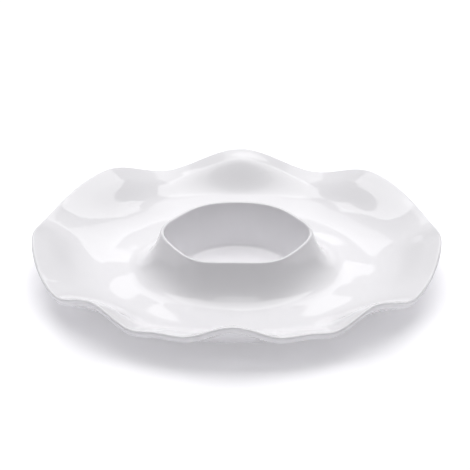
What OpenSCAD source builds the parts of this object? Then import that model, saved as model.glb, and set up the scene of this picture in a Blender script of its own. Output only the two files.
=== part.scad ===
// Ruffled chip and dip server: a round serving tray with a wavy, upturned rim
// and a dip bowl that rises from the middle of its floor. The real object is one
// moulding. Here each zone of it is a closed solid of its own, and the zones meet
// face to face on the cylinders that the Hidden section names.
// The server stands on z = 0 with its centre on the Z axis and a petal at +Y, its
// back. Its left and right halves mirror each other.

/* [Tray] */
// Outer diameter of the rim
server_d = 394; // [380:2:420]
// Height of the tray's floor above the table
tray_h = 13.5; // [12:0.5:16]
// Thickness of the walls and floors
wall_t = 4.5; // [3.5:0.5:5]

/* [Ruffled rim] */
// Mean height of the rim's top edge
rim_h = 40; // [36:1:46]
// Height of the rim's edge face
edge_h = 7; // [6:0.5:8]
// How far a full petal's crest stands above the mean edge
ruffle_h = 8; // [4:0.5:9]
// Width of a petal's gently sloping outer part
petal_brow = 15; // [10:1:18]
// Distance from the rim's edge to the foot of a petal's wall
petal_foot = 43; // [40:1:50]
// Share of a petal's height that its brow loses before it reaches the foot
petal_lean = 0.15; // [0.05:0.05:0.3]

/* [Dip bowl] */
// Mean diameter of the bowl's lip, along its ridge
lip_d = 137; // [134:1:144]
// Mean height of the lip above the table
lip_h = 52; // [50:0.5:56]
// Thickness of the rounded lip
lip_t = 3.6; // [3:0.2:5]
// How much wider the lip is from side to side than the mean
lip_oval = 1.5; // [0:0.1:2]
// How far the lip leaves a circle towards its six soft corners
lip_corner = 1.5; // [0:0.1:2]
// How far the lip rises at the back, front and sides, and falls between them
lip_wave = 1; // [0:0.1:2]
// Radius of the bowl's flat floor
bowl_floor_r = 45; // [42:1:46]
// Radius at which the bowl's outer wall has run out into the tray
flare_r = 106; // [98:1:107]

/* [Foot ring] */
// Outer diameter of the foot ring
foot_d = 232; // [230:1:250]
// Width of the foot ring
foot_w = 6; // [4:0.5:6]
// Gap between the bowl's underside and the table
foot_clear = 1; // [0.5:0.5:1.5]

/* [Hidden] */

server_color = [0.93, 0.93, 0.94];
rim_r = server_d / 2;
lip_r = lip_d / 2;
lip_round = lip_t / 2;
foot_r = foot_d / 2;
foot_round = 1.5;
edge_round = 2;
edge_under_round = 1.2;
edge_lean = 2;        // how far the edge face leans in towards its foot
edge_band = 12;       // width of the underside that only the edge face closes
back = 90;            // direction of the petal at the back

// Cylinders on which the zones meet
rim_seam_r = 126;
flare_seam_r = flare_r + 2;
floor_seam_r = bowl_floor_r - 4;
bowl_floor_z = foot_clear + wall_t;

// Crests and dips of the ruffle from the back round to the front, the same on
// both sides: degrees from the back, height as a share of ruffle_h, and how far
// the rim is a brow and a steep wall there; the rest of it is a gentle ramp
ruffle = [[0, 0.95, 0.7], [21, -1.25, 0.3], [41, 0.95, 0.1], [70, -0.6, 0], [90, 0.75, 0.1], [119, -1.1, 0],
          [137, 1, 0.2], [151, -0.8, 0], [159, -0.4, 0], [165, -0.45, 0], [180, 1.25, 0.4]];
height_column = 1;
wall_column = 2;
slope_reach = 4;      // the underside follows the upper face's slope over this distance to either side

// Inside of the dip bowl: a shallow sweep from the floor, then a tight corner
sweep_r = 36;
sweep_angle = 17;
corner_r = 6;
corner_angle = 80;
sweep_centre = [bowl_floor_r, bowl_floor_z + sweep_r];
corner_centre = sweep_centre + (sweep_r - corner_r) * [sin(sweep_angle), -cos(sweep_angle)];
corner_end = corner_centre + corner_r * [sin(corner_angle), -cos(corner_angle)];

// Walls of the dip bowl: how far they lean from upright, and the handles of the
// outer curve, which runs down from the lip and out into the tray
inner_lean = 10;
outer_lean = 16;
outer_handle = 31;
flare_handle = 18;
handle_oval = 4;      // how much longer both handles are at the front and back than the mean
groove_top = 0.22;    // share of the outer curve, from the lip, that has no groove behind it

rim_steps = 144;      // sections around the rim
petal_steps = 16;     // points along a petal's upper face
under_steps = 10;     // points along its underside
bowl_steps = 96;      // sections around the bowl
curve_steps = 9;      // points along the outer curve
groove_steps = 6;     // points along its underside
arc_steps = 4;        // steps of the small arcs
sweep_steps = 2;
under_arc_steps = 2;

function ease(x) = let (t = min(max(x, 0), 1)) t * t * (3 - 2 * t);
function bezier(p, t) =
    pow(1 - t, 3) * p[0] + 3 * pow(1 - t, 2) * t * p[1]
    + 3 * (1 - t) * t * t * p[2] + t * t * t * p[3];
function bezier_way(p, t) =
    let (d = pow(1 - t, 2) * (p[1] - p[0]) + 2 * (1 - t) * t * (p[2] - p[1]) + t * t * (p[3] - p[2]))
    d / norm(d);
function arc(centre, r, from, to, steps) =
    [for (i = [0:steps]) let (a = from + (to - from) * i / steps)
        centre + r * [cos(a), sin(a)]];
function steps_between(from, to, steps) = [for (i = [0:steps]) from + (to - from) * i / steps];

// A column of the ruffle at angle a, eased from each crest or dip to the next
function from_back(a) = abs((a - back + 540) % 360 - 180);
function ruffle_after(f, i = 0) = i + 2 < len(ruffle) && f > ruffle[i + 1][0] ? ruffle_after(f, i + 1) : i;
function ruffle_at(a, column) =
    let (f = from_back(a), i = ruffle_after(f), p = ruffle[i], q = ruffle[i + 1])
    p[column] + (q[column] - p[column]) * ease((f - p[0]) / (q[0] - p[0]));

// Share of the rim's height that is left at distance s in from the edge: with a
// brow and a wall, or with one gentle ramp down to the tray
function wall_share(s) =
    (1 - petal_lean * s / petal_foot) * (1 - ease((s - petal_brow) / (petal_foot - petal_brow)));
function ramp_share(s) = let (t = s / (rim_r - rim_seam_r)) pow(1 - t, 2) * (1 + t);

// Upper face of the rim, and the thickness below it
function edge_z(a) = rim_h + ruffle_h * ruffle_at(a, height_column);
function rim_z(r, a) =
    let (s = rim_r - r, wall = ruffle_at(a, wall_column))
    tray_h + (edge_z(a) - tray_h) * (wall * wall_share(s) + (1 - wall) * ramp_share(s));
function rim_t(r) = wall_t + (edge_h - wall_t) * ease((r - rim_seam_r) / (rim_r - rim_seam_r) * 2);
function rim_slope(r, a) = (rim_z(r + slope_reach, a) - rim_z(r - slope_reach, a)) / (2 * slope_reach);
function rim_under(r, a) =
    let (slope = r > rim_seam_r ? rim_slope(r, a) : 0, run = sqrt(1 + slope * slope))
    [r + rim_t(r) * slope / run, rim_z(r, a) - rim_t(r) / run];

// Cross-section of the rim at angle a, as [radius, height] points
function rim_section(a) =
    let (top_r = rim_r - edge_round,
         under_r = rim_r - edge_lean - edge_under_round,
         top_z = rim_z(top_r, a),
         seam_r = rim_seam_r / cos(180 / rim_steps))
    concat(
        [[seam_r, tray_h]],
        [for (r = steps_between(rim_seam_r, top_r, petal_steps)) if (r > rim_seam_r) [r, rim_z(r, a)]],
        arc([top_r, top_z - edge_round], edge_round, 90 - 90 / arc_steps, 0, arc_steps - 1),
        arc([under_r, top_z - edge_h + edge_under_round], edge_under_round, 0, -90, under_arc_steps),
        [for (r = steps_between(rim_r - edge_band, rim_seam_r, under_steps))
            if (r > rim_seam_r) rim_under(r, a)],
        [[seam_r, tray_h - wall_t]]);

// Centre of the rounded lip at angle a, and the bowl's outer curve below it
function lip_centre(a) =
    let (f = from_back(a))
    [lip_r - lip_oval * cos(2 * f) - lip_corner * cos(6 * f), lip_h - lip_round + lip_wave * cos(4 * f)];
function inner_start(a) = lip_centre(a) + lip_round * [-cos(inner_lean), sin(inner_lean)];
function outer_curve(a) =
    let (start = lip_centre(a) + lip_round * [cos(outer_lean), sin(outer_lean)],
         longer = handle_oval * cos(2 * from_back(a)))
    [start, start + (outer_handle + longer) * [sin(outer_lean), -cos(outer_lean)],
     [flare_r - flare_handle - longer, tray_h], [flare_r, tray_h]];
function behind_outer(a, t) =
    let (way = bezier_way(outer_curve(a), t)) bezier(outer_curve(a), t) + wall_t * [way[1], -way[0]];

// Point behind the bowl's inner wall at angle a and height z
function behind_inner(a, z) =
    let (share = (z - corner_end[1]) / (inner_start(a)[1] - corner_end[1]))
    [corner_end[0] + share * (inner_start(a)[0] - corner_end[0]) + wall_t, z];

// Inside of the bowl from the flat floor up to the wall, or its underside
function bowl_corner(extra) =
    let (first = sweep_angle - 90, last = corner_angle - 90, step = (last - first) / arc_steps)
    concat(arc(sweep_centre, sweep_r + extra, -90, first, sweep_steps),
           arc(corner_centre, corner_r + extra, first + step, last, arc_steps - 1));
function reversed(v) = [for (i = [len(v) - 1:-1:0]) v[i]];

// Cross-section of the bowl's wall at angle a: up the inside, over the lip, down
// the outside, then back along the underside through the groove below the lip
function bowl_section(a) =
    let (seam_r = floor_seam_r / cos(180 / bowl_steps))
    concat(
        [[seam_r, bowl_floor_z]],
        bowl_corner(0),
        arc(lip_centre(a), lip_round, 180 - inner_lean, outer_lean, arc_steps + 2),
        [for (t = steps_between(0, 1, curve_steps)) if (t > 0) bezier(outer_curve(a), t)],
        [[flare_seam_r, tray_h], [flare_seam_r, tray_h - wall_t]],
        [for (t = steps_between(1, groove_top, groove_steps)) behind_outer(a, t)],
        [behind_inner(a, behind_outer(a, groove_top)[1])],
        reversed(bowl_corner(wall_t)),
        [[seam_r, foot_clear]]);

// A closed ring whose cross-section at each angle is one of the sections
module ring(sections) {
    around = len(sections);
    along = len(sections[0]);
    points = [for (i = [0:around - 1]) let (a = 360 * i / around)
        for (p = sections[i]) [p[0] * cos(a), p[0] * sin(a), p[1]]];
    faces = [for (i = [0:around - 1], j = [0:along - 1])
        let (i2 = (i + 1) % around, j2 = (j + 1) % along,
             p = i * along + j, q = i * along + j2,
             s = i2 * along + j2, t = i2 * along + j)
        each [[p, q, s], [p, s, t]]];
    polyhedron(points, faces);
}

module ruffled_rim() {
    color(server_color)
    ring([for (i = [0:rim_steps - 1]) rim_section(360 * i / rim_steps)]);
}

module tray_floor() {
    color(server_color)
    rotate_extrude($fn = rim_steps)
    translate([flare_seam_r, tray_h - wall_t])
    square([rim_seam_r - flare_seam_r, wall_t]);
}

module dip_bowl_wall() {
    color(server_color)
    ring([for (i = [0:bowl_steps - 1]) bowl_section(360 * i / bowl_steps)]);
}

module dip_bowl_floor() {
    color(server_color)
    translate([0, 0, foot_clear])
    cylinder(r = floor_seam_r, h = wall_t, $fn = bowl_steps);
}

module foot_ring() {
    inner_r = foot_r - foot_w;
    color(server_color)
    rotate_extrude($fn = rim_steps)
    polygon(concat(
        [[inner_r, tray_h - wall_t]],
        arc([inner_r + foot_round, foot_round], foot_round, 180, 270, arc_steps),
        arc([foot_r - foot_round, foot_round], foot_round, 270, 360, arc_steps),
        [[foot_r, tray_h - wall_t]]));
}

ruffled_rim();
tray_floor();
dip_bowl_wall();
dip_bowl_floor();
foot_ring();
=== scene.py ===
import math

import bpy
import numpy as np
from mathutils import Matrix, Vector


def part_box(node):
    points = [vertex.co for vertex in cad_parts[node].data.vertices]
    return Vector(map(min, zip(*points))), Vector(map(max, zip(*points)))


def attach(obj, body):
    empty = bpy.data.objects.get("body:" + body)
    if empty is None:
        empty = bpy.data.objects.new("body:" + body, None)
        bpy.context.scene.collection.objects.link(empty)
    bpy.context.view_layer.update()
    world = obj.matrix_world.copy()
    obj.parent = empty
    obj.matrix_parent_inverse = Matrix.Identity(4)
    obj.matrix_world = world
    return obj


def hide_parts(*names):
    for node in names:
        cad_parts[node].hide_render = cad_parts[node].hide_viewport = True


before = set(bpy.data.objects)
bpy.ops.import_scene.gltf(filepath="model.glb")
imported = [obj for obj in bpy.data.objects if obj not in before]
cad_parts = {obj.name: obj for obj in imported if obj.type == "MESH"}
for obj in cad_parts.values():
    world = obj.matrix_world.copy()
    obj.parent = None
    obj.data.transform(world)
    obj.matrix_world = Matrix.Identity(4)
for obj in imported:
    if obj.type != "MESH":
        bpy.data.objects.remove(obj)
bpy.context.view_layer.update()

MM = 0.001
ROOT = "root"

# ---------------------------------------------------------------- sizes that the frame gives
rim_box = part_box("ruffled_rim")
tray_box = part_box("tray_floor")
wall_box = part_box("dip_bowl_wall")
dish_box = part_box("dip_bowl_floor")
foot_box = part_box("foot_ring")
RIM_R = rim_box[1].x
RIM_SEAM_R = tray_box[1].x
FLARE_SEAM_R = wall_box[1].x
FLOOR_SEAM_R = dish_box[1].x
TRAY_Z = tray_box[1].z
WALL_T = tray_box[1].z - tray_box[0].z
DISH_Z = dish_box[1].z
DISH_UNDER_Z = dish_box[0].z
FOOT_R = foot_box[1].x
FOOT_TOP_Z = foot_box[1].z

# ---------------------------------------------------------------- design values, as in the CAD
BACK = math.pi / 2
EDGE_Z = 40 * MM
EDGE_H = 7 * MM
EDGE_ROUND = 2 * MM
EDGE_UNDER_ROUND = 1.2 * MM
EDGE_LEAN = 2 * MM
EDGE_BAND = 12 * MM
RUFFLE_H = 8 * MM
PETAL_BROW = 15 * MM
PETAL_FOOT = 43 * MM
PETAL_LEAN = 0.15
# crests and dips: degrees from the back, height as a share of RUFFLE_H, and how far the rim is a wall there
RUFFLE = [(0, 0.95, 0.7), (21, -1.25, 0.3), (41, 0.95, 0.1), (70, -0.6, 0), (90, 0.75, 0.1), (119, -1.1, 0),
          (137, 1, 0.2), (151, -0.8, 0), (159, -0.4, 0), (165, -0.45, 0), (180, 1.25, 0.4)]
SLOPE_REACH = 4 * MM
LIP_R = 68.5 * MM
LIP_Z = 52 * MM
LIP_ROUND = 1.8 * MM
LIP_OVAL = 1.5 * MM
LIP_CORNER = 1.5 * MM
LIP_WAVE = 1 * MM
DISH_R = 45 * MM
SWEEP_R = 36 * MM
SWEEP_ANGLE = math.radians(17)
CORNER_R = 6 * MM
CORNER_ANGLE = math.radians(80)
FLARE_END = 2 * MM          # flat band between the end of the flare and the seam
FLARE_R = FLARE_SEAM_R - FLARE_END
INNER_LEAN = math.radians(10)
OUTER_LEAN = math.radians(16)
OUTER_HANDLE = 31 * MM
FLARE_HANDLE = 18 * MM
HANDLE_OVAL = 4 * MM
GROOVE_TOP = 0.22
FOOT_W = 6 * MM
FOOT_ROUND = 1.5 * MM
THICKEN_OVER = 0.5          # share of the rim's width over which it thickens to its edge
EDGE_TOP_START = math.radians(80)
DISC_CORE_R = 1 * MM        # innermost circle of a disc, around its middle point
# slight swells of the moulded upper face, as visual detail:
# wavelength and height in mm, heading in degrees, phase
UNEVEN_WAVES = [(92, 0.24, 20, 0.4), (71, 0.2, 100, 2.0), (58, 0.14, 155, 4.1), (34, 0.05, 60, 1.2)]
UNEVEN_FADE = 10 * MM       # width over which they fade out towards the rim's edge

# ---------------------------------------------------------------- fineness of the meshes
AROUND = 960
PETAL_STEPS = 72
UNDER_STEPS = 36
WALL_STEPS = 48
SWEEP_STEPS = 14
CORNER_STEPS = 14
FLAT_STEPS = 40
ROUND_STEPS = 8
SMOOTH_ANGLE = math.radians(50)

ANGLES = np.arange(AROUND) * 2 * math.pi / AROUND


# ---------------------------------------------------------------- shape
def ease(x):
    """A smooth step from 0 to 1."""
    t = np.clip(x, 0, 1)
    return t * t * (3 - 2 * t)


# one value for each of ANGLES: the angle from the back, and the ruffle's height and wall there
FROM_BACK = np.abs((ANGLES - BACK + 3 * math.pi) % (2 * math.pi) - math.pi)


def ruffle_column(column):
    """One column of RUFFLE, swung smoothly from crest to dip, for each of ANGLES."""
    values = np.zeros(AROUND)
    for start, end in zip(RUFFLE, RUFFLE[1:]):
        between = (FROM_BACK >= math.radians(start[0])) & (FROM_BACK <= math.radians(end[0]))
        share = ease((np.degrees(FROM_BACK) - start[0]) / (end[0] - start[0]))
        values[between] = (start[column] + (end[column] - start[column]) * share)[between]
    return values


EDGE_HEIGHTS = EDGE_Z + RUFFLE_H * ruffle_column(1)
WALL_AT = ruffle_column(2)


def rim_z(r):
    """Height of the rim's upper face at radius r: a gentle ramp, or a brow and a wall."""
    s = RIM_R - r
    t = s / (RIM_R - RIM_SEAM_R)
    wall = (1 - PETAL_LEAN * s / PETAL_FOOT) * (1 - ease((s - PETAL_BROW) / (PETAL_FOOT - PETAL_BROW)))
    ramp = (1 - t) ** 2 * (1 + t)
    return TRAY_Z + (EDGE_HEIGHTS - TRAY_Z) * (WALL_AT * wall + (1 - WALL_AT) * ramp)


def rim_t(r):
    """Thickness of the rim at radius r, square to its face."""
    return WALL_T + (EDGE_H - WALL_T) * ease((r - RIM_SEAM_R) / (RIM_R - RIM_SEAM_R) / THICKEN_OVER)


def rim_under(r):
    """Underside of the rim: its upper face moved square to itself by the thickness."""
    slope = np.zeros(AROUND)
    if r > RIM_SEAM_R:
        slope = (rim_z(r + SLOPE_REACH) - rim_z(r - SLOPE_REACH)) / (2 * SLOPE_REACH)
    run = np.sqrt(1 + slope**2)
    return ring_points(r + rim_t(r) * slope / run, rim_z(r) - rim_t(r) / run)


def unevenness(x, y):
    """Height of the swells at x, y."""
    total = 0.0
    for length, height, heading, start in UNEVEN_WAVES:
        along = x * math.cos(math.radians(heading)) + y * math.sin(math.radians(heading))
        total = total + height * MM * np.sin(2 * math.pi * along / (length * MM) + start)
    return total


def ring_points(radii, heights):
    """Points of one circle of vertices: radii and heights are numbers or one value for each of ANGLES."""
    r = np.broadcast_to(radii, AROUND)
    z = np.broadcast_to(heights, AROUND)
    return np.stack([r * np.cos(ANGLES), r * np.sin(ANGLES), z], axis=1)


def uneven(circle, share=1.0):
    """A circle of vertices, lifted by its share of the swells."""
    circle[:, 2] += share * unevenness(circle[:, 0], circle[:, 1])
    return circle


def add_mesh(name, verts, faces):
    mesh = bpy.data.meshes.new(name)
    mesh.from_pydata(verts.tolist(), [], faces)
    mesh.validate()
    piece = bpy.data.objects.new(name, mesh)
    bpy.context.scene.collection.objects.link(piece)
    mesh.shade_smooth()
    mesh.set_sharp_from_angle(angle=SMOOTH_ANGLE)
    return piece


def quads(count, closed):
    """Faces between successive circles of AROUND vertices each; closed joins the last to the first."""
    i = np.arange(AROUND)
    i2 = (i + 1) % AROUND
    faces = []
    for j in range(count if closed else count - 1):
        a, b = j * AROUND, (j + 1) % count * AROUND
        faces += np.stack([a + i, b + i, b + i2, a + i2], axis=1).tolist()
    return faces


def ring_piece(name, circles):
    """A closed ring swept from circles that run once around its cross-section."""
    return add_mesh(name, np.concatenate(circles), quads(len(circles), True))


def disc_piece(name, circles, top_z, under_z):
    """A closed disc: circles run from near the axis over the top, down the side and back underneath."""
    verts = np.concatenate(circles + [np.array([[0, 0, top_z], [0, 0, under_z]])])
    faces = quads(len(circles), False)
    top, under = len(verts) - 2, len(verts) - 1
    last = (len(circles) - 1) * AROUND
    for i in range(AROUND):
        i2 = (i + 1) % AROUND
        faces.append([top, i, i2])
        faces.append([under, last + i2, last + i])
    return add_mesh(name, verts, faces)


def bezier(p, t):
    return (1 - t) ** 3 * p[0] + 3 * (1 - t) ** 2 * t * p[1] + 3 * (1 - t) * t * t * p[2] + t**3 * p[3]


def bezier_way(p, t):
    """Direction of the curve, as a vector of length 1."""
    d = (1 - t) ** 2 * (p[1] - p[0]) + 2 * (1 - t) * t * (p[2] - p[1]) + t * t * (p[3] - p[2])
    return d / np.linalg.norm(d, axis=1, keepdims=True)


def rz(r, z):
    """[radius, height] for each of ANGLES."""
    return np.stack([np.broadcast_to(r, AROUND), np.broadcast_to(z, AROUND)], axis=1)


LIP_CENTRE = rz(LIP_R - LIP_OVAL * np.cos(2 * FROM_BACK) - LIP_CORNER * np.cos(6 * FROM_BACK),
                LIP_Z - LIP_ROUND + LIP_WAVE * np.cos(4 * FROM_BACK))
INNER_START = LIP_CENTRE + LIP_ROUND * np.array([-math.cos(INNER_LEAN), math.sin(INNER_LEAN)])
SWEEP_CENTRE = np.array([DISH_R, DISH_Z + SWEEP_R])
SWEEP_END_WAY = np.array([math.sin(SWEEP_ANGLE), -math.cos(SWEEP_ANGLE)])
CORNER_CENTRE = SWEEP_CENTRE + (SWEEP_R - CORNER_R) * SWEEP_END_WAY
CORNER_END = CORNER_CENTRE + CORNER_R * np.array([math.sin(CORNER_ANGLE), -math.cos(CORNER_ANGLE)])


def outer_curve():
    """Curve of the bowl's outer wall, from its lip out into the tray, as four control points."""
    start = LIP_CENTRE + LIP_ROUND * np.array([math.cos(OUTER_LEAN), math.sin(OUTER_LEAN)])
    way = np.array([math.sin(OUTER_LEAN), -math.cos(OUTER_LEAN)])
    longer = HANDLE_OVAL * np.cos(2 * FROM_BACK)
    return [start, start + (OUTER_HANDLE + longer)[:, None] * way,
            rz(FLARE_R - FLARE_HANDLE - longer, TRAY_Z), rz(FLARE_R, TRAY_Z)]


def bowl_corner(extra):
    """Circles from the bowl's flat floor out and up to its wall, or along its underside."""
    circles = []
    for centre, radius, angles in (
            (SWEEP_CENTRE, SWEEP_R, np.linspace(0, SWEEP_ANGLE, SWEEP_STEPS)),
            (CORNER_CENTRE, CORNER_R, np.linspace(SWEEP_ANGLE, CORNER_ANGLE, CORNER_STEPS)[1:])):
        for a in angles:
            circles.append(ring_points(centre[0] + (radius + extra) * math.sin(a),
                                       centre[1] - (radius + extra) * math.cos(a)))
    return circles


def behind_outer(outer, t):
    """Points on the underside of the outer curve at t."""
    way = bezier_way(outer, t)
    return bezier(outer, t) + WALL_T * np.stack([way[:, 1], -way[:, 0]], axis=1)


def behind_inner(z):
    """Points at height z on the back of the bowl's inner wall."""
    share = (z - CORNER_END[1]) / (INNER_START[:, 1] - CORNER_END[1])
    return rz(CORNER_END[0] + share * (INNER_START[:, 0] - CORNER_END[0]) + WALL_T, z)


def circle_of(points):
    return ring_points(points[:, 0], points[:, 1])


# ---------------------------------------------------------------- pieces
def make_ruffled_rim():
    top_r = RIM_R - EDGE_ROUND
    under_r = RIM_R - EDGE_LEAN - EDGE_UNDER_ROUND
    top_z = rim_z(top_r)
    under_z = top_z - EDGE_H
    circles = [uneven(ring_points(r, rim_z(r)), float(ease((top_r - r) / UNEVEN_FADE)))
               for r in np.linspace(RIM_SEAM_R, top_r, PETAL_STEPS)]
    for a in np.linspace(EDGE_TOP_START, 0, ROUND_STEPS):
        circles.append(ring_points(top_r + EDGE_ROUND * math.cos(a), top_z - EDGE_ROUND * (1 - math.sin(a))))
    for a in np.linspace(0, -math.pi / 2, ROUND_STEPS):
        circles.append(ring_points(under_r + EDGE_UNDER_ROUND * math.cos(a),
                                   under_z + EDGE_UNDER_ROUND * (1 + math.sin(a))))
    circles += [rim_under(r) for r in np.linspace(RIM_R - EDGE_BAND, RIM_SEAM_R, UNDER_STEPS)]
    return ring_piece("ruffled_rim_moulding", circles)


def make_tray_floor():
    radii = np.linspace(FLARE_SEAM_R, RIM_SEAM_R, FLAT_STEPS)
    circles = [uneven(ring_points(r, TRAY_Z)) for r in radii]
    circles += [ring_points(r, TRAY_Z - WALL_T) for r in radii[::-1]]
    return ring_piece("tray_floor_moulding", circles)


def make_dip_bowl_wall():
    outer = outer_curve()
    corner_end = rz(*CORNER_END)
    circles = [ring_points(FLOOR_SEAM_R, DISH_Z)] + bowl_corner(0)
    circles += [circle_of(corner_end + t * (INNER_START - corner_end))
                for t in np.linspace(0, 1, WALL_STEPS)[1:]]
    for a in np.linspace(math.pi - INNER_LEAN, OUTER_LEAN, 2 * ROUND_STEPS)[1:-1]:
        circles.append(circle_of(LIP_CENTRE + LIP_ROUND * np.array([math.cos(a), math.sin(a)])))
    for t in np.linspace(0, 1, WALL_STEPS):
        circles.append(uneven(circle_of(bezier(outer, t)), float(ease(2 * t - 1))))
    circles.append(uneven(ring_points(FLARE_SEAM_R, TRAY_Z)))
    circles.append(ring_points(FLARE_SEAM_R, TRAY_Z - WALL_T))
    groove = [behind_outer(outer, t) for t in np.linspace(1, GROOVE_TOP, WALL_STEPS // 2)]
    circles += [circle_of(points) for points in groove]
    circles.append(circle_of(behind_inner(groove[-1][:, 1])))
    circles += bowl_corner(WALL_T)[::-1]
    circles.append(ring_points(FLOOR_SEAM_R, DISH_UNDER_Z))
    return ring_piece("dip_bowl_wall_moulding", circles)


def make_dip_bowl_floor():
    radii = np.linspace(DISC_CORE_R, FLOOR_SEAM_R, FLAT_STEPS)
    circles = [ring_points(r, DISH_Z) for r in radii]
    circles += [ring_points(r, DISH_UNDER_Z) for r in radii[::-1]]
    return disc_piece("dip_bowl_floor_moulding", circles, DISH_Z, DISH_UNDER_Z)


def make_foot_ring():
    circles = [ring_points(FOOT_R - FOOT_W, z) for z in np.linspace(FOOT_TOP_Z, FOOT_ROUND, ROUND_STEPS)]
    for side, centre_r in ((-1, FOOT_R - FOOT_W + FOOT_ROUND), (1, FOOT_R - FOOT_ROUND)):
        for a in np.linspace(0, math.pi / 2, ROUND_STEPS)[::-side]:
            circles.append(ring_points(centre_r + side * FOOT_ROUND * math.cos(a),
                                       FOOT_ROUND * (1 - math.sin(a))))
    circles += [ring_points(FOOT_R, z) for z in np.linspace(FOOT_ROUND, FOOT_TOP_Z, ROUND_STEPS)[1:]]
    return ring_piece("foot_ring_moulding", circles)


# ---------------------------------------------------------------- materials
WHITE_DEEP = (0.905, 0.896, 0.920, 1)
WHITE_PALE = (0.920, 0.912, 0.933, 1)
TONE_RANGE = (0.3, 0.7)     # share of the cloud at which the tone is all deep or all pale
CLOUD_SCALE = 9
CLOUD_DETAIL = 4
GLOSS_RANGE = (0.03, 0.05)  # roughness where the cloud is thinnest and thickest
MELAMINE_IOR = 1.52
PEEL_SCALE = 160
PEEL_DETAIL = 2
PEEL_STRENGTH = 0.015
PEEL_DEPTH = 0.3 * MM
FLOOR_TONE = (0.935, 0.93, 0.955, 1)
FLOOR_ROUGHNESS = 0.6
FLOOR_SHINE = 0.2
FLOOR_GLOW = 0.2


def melamine():
    """Glossy white melamine: a faint cloudiness in its tone and gloss, and a very fine orange peel."""
    mat = bpy.data.materials.new("white_melamine")
    mat.use_nodes = True
    nodes, links = mat.node_tree.nodes, mat.node_tree.links
    shader = nodes["Principled BSDF"]
    coords = nodes.new("ShaderNodeTexCoord")
    cloud = nodes.new("ShaderNodeTexNoise")
    cloud.inputs["Scale"].default_value = CLOUD_SCALE
    cloud.inputs["Detail"].default_value = CLOUD_DETAIL
    links.new(coords.outputs["Object"], cloud.inputs["Vector"])
    tone = nodes.new("ShaderNodeValToRGB")
    for element, position, color in zip(tone.color_ramp.elements, TONE_RANGE, (WHITE_DEEP, WHITE_PALE)):
        element.position = position
        element.color = color
    links.new(cloud.outputs["Fac"], tone.inputs["Fac"])
    links.new(tone.outputs["Color"], shader.inputs["Base Color"])
    gloss = nodes.new("ShaderNodeMapRange")
    gloss.inputs["To Min"].default_value, gloss.inputs["To Max"].default_value = GLOSS_RANGE
    links.new(cloud.outputs["Fac"], gloss.inputs["Value"])
    links.new(gloss.outputs["Result"], shader.inputs["Roughness"])
    peel = nodes.new("ShaderNodeTexNoise")
    peel.inputs["Scale"].default_value = PEEL_SCALE
    peel.inputs["Detail"].default_value = PEEL_DETAIL
    links.new(coords.outputs["Object"], peel.inputs["Vector"])
    bump = nodes.new("ShaderNodeBump")
    bump.inputs["Strength"].default_value = PEEL_STRENGTH
    bump.inputs["Distance"].default_value = PEEL_DEPTH
    links.new(peel.outputs["Fac"], bump.inputs["Height"])
    links.new(bump.outputs["Normal"], shader.inputs["Normal"])
    shader.inputs["IOR"].default_value = MELAMINE_IOR
    return mat


def studio_floor():
    """Matt white, with a faint glow of its own that keeps the shadows pale."""
    mat = bpy.data.materials.new("studio_floor")
    mat.use_nodes = True
    shader = mat.node_tree.nodes["Principled BSDF"]
    shader.inputs["Base Color"].default_value = FLOOR_TONE
    shader.inputs["Roughness"].default_value = FLOOR_ROUGHNESS
    shader.inputs["Specular IOR Level"].default_value = FLOOR_SHINE
    shader.inputs["Emission Color"].default_value = (1, 1, 1, 1)
    shader.inputs["Emission Strength"].default_value = FLOOR_GLOW
    return mat


# ---------------------------------------------------------------- object
pieces = {
    "ruffled_rim": make_ruffled_rim(),
    "tray_floor": make_tray_floor(),
    "dip_bowl_wall": make_dip_bowl_wall(),
    "dip_bowl_floor": make_dip_bowl_floor(),
    "foot_ring": make_foot_ring(),
}
white = melamine()
for node_name, piece in pieces.items():
    piece.data.materials.append(white)
    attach(piece, ROOT)
    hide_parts(node_name)

# ---------------------------------------------------------------- stage
FLOOR_HALF = 6.0            # half the side of the square floor


def make_floor():
    mesh = bpy.data.meshes.new("studio_floor")
    corners = [(-1, -1), (1, -1), (1, 1), (-1, 1)]
    mesh.from_pydata([(x * FLOOR_HALF, y * FLOOR_HALF, 0) for x, y in corners], [], [(0, 1, 2, 3)])
    floor = bpy.data.objects.new("studio_floor", mesh)
    bpy.context.scene.collection.objects.link(floor)
    mesh.materials.append(studio_floor())


make_floor()


def softbox(name, azimuth, elevation, distance, wide, high, glow):
    """A flat, evenly bright panel that faces the server; azimuth counts from its back, in degrees."""
    data = bpy.data.lights.new(name, "AREA")
    data.shape = "RECTANGLE"
    data.size, data.size_y = wide, high
    data.energy = glow * math.pi * wide * high
    light = bpy.data.objects.new(name, data)
    turn, rise = math.radians(azimuth), math.radians(elevation)
    light.location = Vector((math.sin(turn) * math.cos(rise), math.cos(turn) * math.cos(rise),
                             math.sin(rise))) * distance
    light.rotation_mode = "QUATERNION"
    light.rotation_quaternion = (-light.location).to_track_quat("-Z", "Y")
    bpy.context.scene.collection.objects.link(light)


# the lower edge of the back panel shines just past the tray's flat face, so only its swells catch it
softbox("back_softbox", azimuth=0, elevation=44.5, distance=5.0, wide=3.2, high=3.16, glow=0.95)
softbox("top_softbox", azimuth=0, elevation=81, distance=3.0, wide=3.6, high=2.8, glow=2.2)
softbox("front_softbox", azimuth=180, elevation=60, distance=5.0, wide=2.6, high=2.2, glow=1.6)

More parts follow.
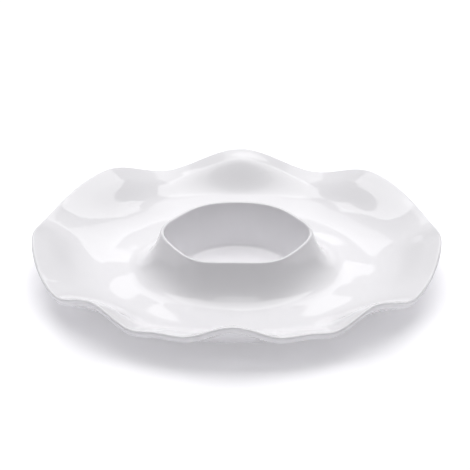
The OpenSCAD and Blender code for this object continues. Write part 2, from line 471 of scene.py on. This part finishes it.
# the room's glow: brightest high up at the back, none low down at the front
ROOM_GLOW = 0.5
ROOM_TONE = (0.98, 0.975, 1.0, 1)
ROOM_WAY = (0, 0.64, 0.77)  # towards the middle of the glow
ROOM_START = 0.35           # cosine of the angle from there at which the glow starts
ROOM_FULL = 0.9             # and at which it is full
world = bpy.data.worlds.new("studio")
bpy.context.scene.world = world
world.use_nodes = True
world_nodes, world_links = world.node_tree.nodes, world.node_tree.links
way = world_nodes.new("ShaderNodeTexCoord")
towards = world_nodes.new("ShaderNodeVectorMath")
towards.operation = "DOT_PRODUCT"
towards.inputs[1].default_value = ROOM_WAY
strength = world_nodes.new("ShaderNodeMapRange")
strength.interpolation_type = "SMOOTHSTEP"
strength.inputs["From Min"].default_value = ROOM_START
strength.inputs["From Max"].default_value = ROOM_FULL
strength.inputs["To Max"].default_value = ROOM_GLOW
world_links.new(way.outputs["Generated"], towards.inputs[0])
world_links.new(towards.outputs["Value"], strength.inputs["Value"])
world_links.new(strength.outputs["Result"], world_nodes["Background"].inputs["Strength"])
world_nodes["Background"].inputs["Color"].default_value = ROOM_TONE

# ---------------------------------------------------------------- camera
CAMERA_ELEVATION = math.radians(26.3)
CAMERA_TURN = math.radians(1.1)
CAMERA_DISTANCE = 40 * RIM_R
CAMERA_LENS = 628           # in mm, with the sensor's width
CAMERA_SENSOR = 36
CAMERA_REACH = 50
AIM_RIGHT = -1.6 * MM
AIM_UP = 8.3 * MM

camera_data = bpy.data.cameras.new("camera")
camera_data.lens = CAMERA_LENS
camera_data.sensor_width = CAMERA_SENSOR
camera_data.clip_end = CAMERA_REACH
camera = bpy.data.objects.new("camera", camera_data)
bpy.context.scene.collection.objects.link(camera)
bpy.context.scene.camera = camera
back_way = Vector((math.sin(CAMERA_TURN) * math.cos(CAMERA_ELEVATION),
                   -math.cos(CAMERA_TURN) * math.cos(CAMERA_ELEVATION),
                   math.sin(CAMERA_ELEVATION)))
middle = Vector((0, 0, EDGE_Z))
camera.location = middle + back_way * CAMERA_DISTANCE
facing = (-back_way).to_track_quat("-Z", "Y")
aim = middle + facing @ Vector((AIM_RIGHT, AIM_UP, 0))
camera.rotation_mode = "QUATERNION"
camera.rotation_quaternion = (aim - camera.location).to_track_quat("-Z", "Y")

bpy.context.scene.view_settings.view_transform = "Standard"
